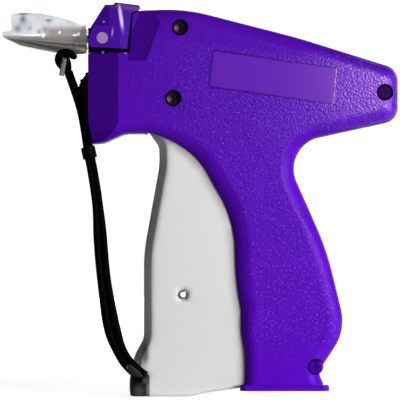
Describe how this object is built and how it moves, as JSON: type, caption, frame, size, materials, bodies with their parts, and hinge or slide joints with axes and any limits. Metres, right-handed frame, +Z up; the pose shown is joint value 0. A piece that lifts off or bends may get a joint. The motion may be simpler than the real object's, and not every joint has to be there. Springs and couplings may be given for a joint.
{
  "type": "garment tag attacher",
  "caption": "Pistol-grip tool that drives T-end fasteners through a slotted needle when its trigger is squeezed, with a tethered needle cap.",
  "frame": {"origin": "centre of the handle foot's underside, on the casing's parting plane", "axes": "+Z up from the foot; the needle points to -X; +Y is the side with the round feed knob, so -Y is the side with the screw heads"},
  "size_m": [0.1434, 0.0325, 0.1424],
  "materials": {
    "left_shell": "moulded purple plastic with a fine leather grain",
    "right_shell": "moulded purple plastic with a fine leather grain",
    "housing_screws": "zinc-plated steel",
    "trigger_pivot_pin": "bright steel",
    "rocker_pivot_pin": "bright steel",
    "return_spring": "bright steel",
    "needle": "bright steel",
    "needle_base": "moulded plastic",
    "cutter_blade": "bright steel",
    "clip_guide": "bright steel",
    "detent_spring": "zinc-plated steel",
    "lever_pivot_pins": "bright steel",
    "cord_keeper": "black plastic",
    "tether_upper": "black elastic cord",
    "tether_lower": "black elastic cord",
    "needle_lock_lever": "glossy purple plastic",
    "needle_cap": "clear plastic",
    "tether_knot": "black elastic cord",
    "trigger": "light grey plastic",
    "roll_pin": "bright steel",
    "drive_arm": "bright steel",
    "drive_pin": "bright steel",
    "tether_anchor": "black plastic",
    "rocker": "white engineering plastic",
    "ejector_slide": "white engineering plastic",
    "slide_pin": "bright steel",
    "ejector_rod": "bright steel",
    "feed_wheel": "black plastic",
    "ratchet_wheel": "white engineering plastic",
    "feed_shaft": "bright steel",
    "feed_knob": "black plastic"
  },
  "bodies": {
    "housing": {"left_shell": "left_shell", "right_shell": "right_shell", "housing_screws": "housing_screws", "trigger_pivot_pin": "trigger_pivot_pin", "rocker_pivot_pin": "rocker_pivot_pin", "return_spring": "return_spring", "needle": "needle", "needle_base": "needle_base", "cutter_blade": "cutter_blade", "clip_guide": "clip_guide", "detent_spring": "detent_spring", "lever_pivot_pins": "lever_pivot_pins", "cord_keeper": "cord_keeper", "tether_upper": "tether_upper", "tether_lower": "tether_lower"},
    "lock_lever": {"needle_lock_lever": "needle_lock_lever"},
    "cap": {"needle_cap": "needle_cap", "tether_knot": "tether_knot"},
    "squeeze_trigger": {"trigger": "trigger", "roll_pin": "roll_pin", "drive_arm": "drive_arm", "drive_pin": "drive_pin", "tether_anchor": "tether_anchor"},
    "rocker_arm": {"rocker": "rocker"},
    "ejector": {"ejector_slide": "ejector_slide", "slide_pin": "slide_pin", "ejector_rod": "ejector_rod"},
    "feed": {"feed_wheel": "feed_wheel", "ratchet_wheel": "ratchet_wheel", "feed_shaft": "feed_shaft", "feed_knob": "feed_knob"}
  },
  "joints": [
    {"name": "trigger_squeeze", "type": "hinge", "parent": "housing", "child": "squeeze_trigger", "pos_m": [-0.036, 0, 0.094], "axis": [0, -1, 0], "range_deg": [0, 12], "stiffness_Nm_per_rad": 1.5, "springref_deg": -28.65},
    {"name": "rocker_swing", "type": "hinge", "parent": "housing", "child": "rocker_arm", "pos_m": [-0.01103, 0, 0.06599], "axis": [0, -1, 0], "range_deg": [0, 44.1], "deforming": ["return_spring"]},
    {"name": "slide_stroke", "type": "slide", "parent": "housing", "child": "ejector", "axis": [-0.9893, 0, 0.1461], "range_m": [0, 0.0421]},
    {"name": "feed_wheel_spin", "type": "hinge", "parent": "housing", "child": "feed", "pos_m": [-0.0637, 0, 0.1067], "axis": [0, -1, 0], "continuous": true},
    {"name": "lock_lever_flip", "type": "hinge", "parent": "housing", "child": "lock_lever", "pos_m": [-0.0659, 0, 0.1274], "axis": [0, -1, 0], "range_deg": [0, 50]},
    {"name": "cap_pull", "type": "slide", "parent": "housing", "child": "cap", "axis": [-0.9893, 0, 0.1461], "range_m": [0, 0.03]}
  ],
  "couplings": [
    {"joint": "rocker_swing", "follows": "trigger_squeeze", "ratio": 3.6652},
    {"joint": "slide_stroke", "follows": "trigger_squeeze", "m_per_rad": 0.20053}
  ]
}
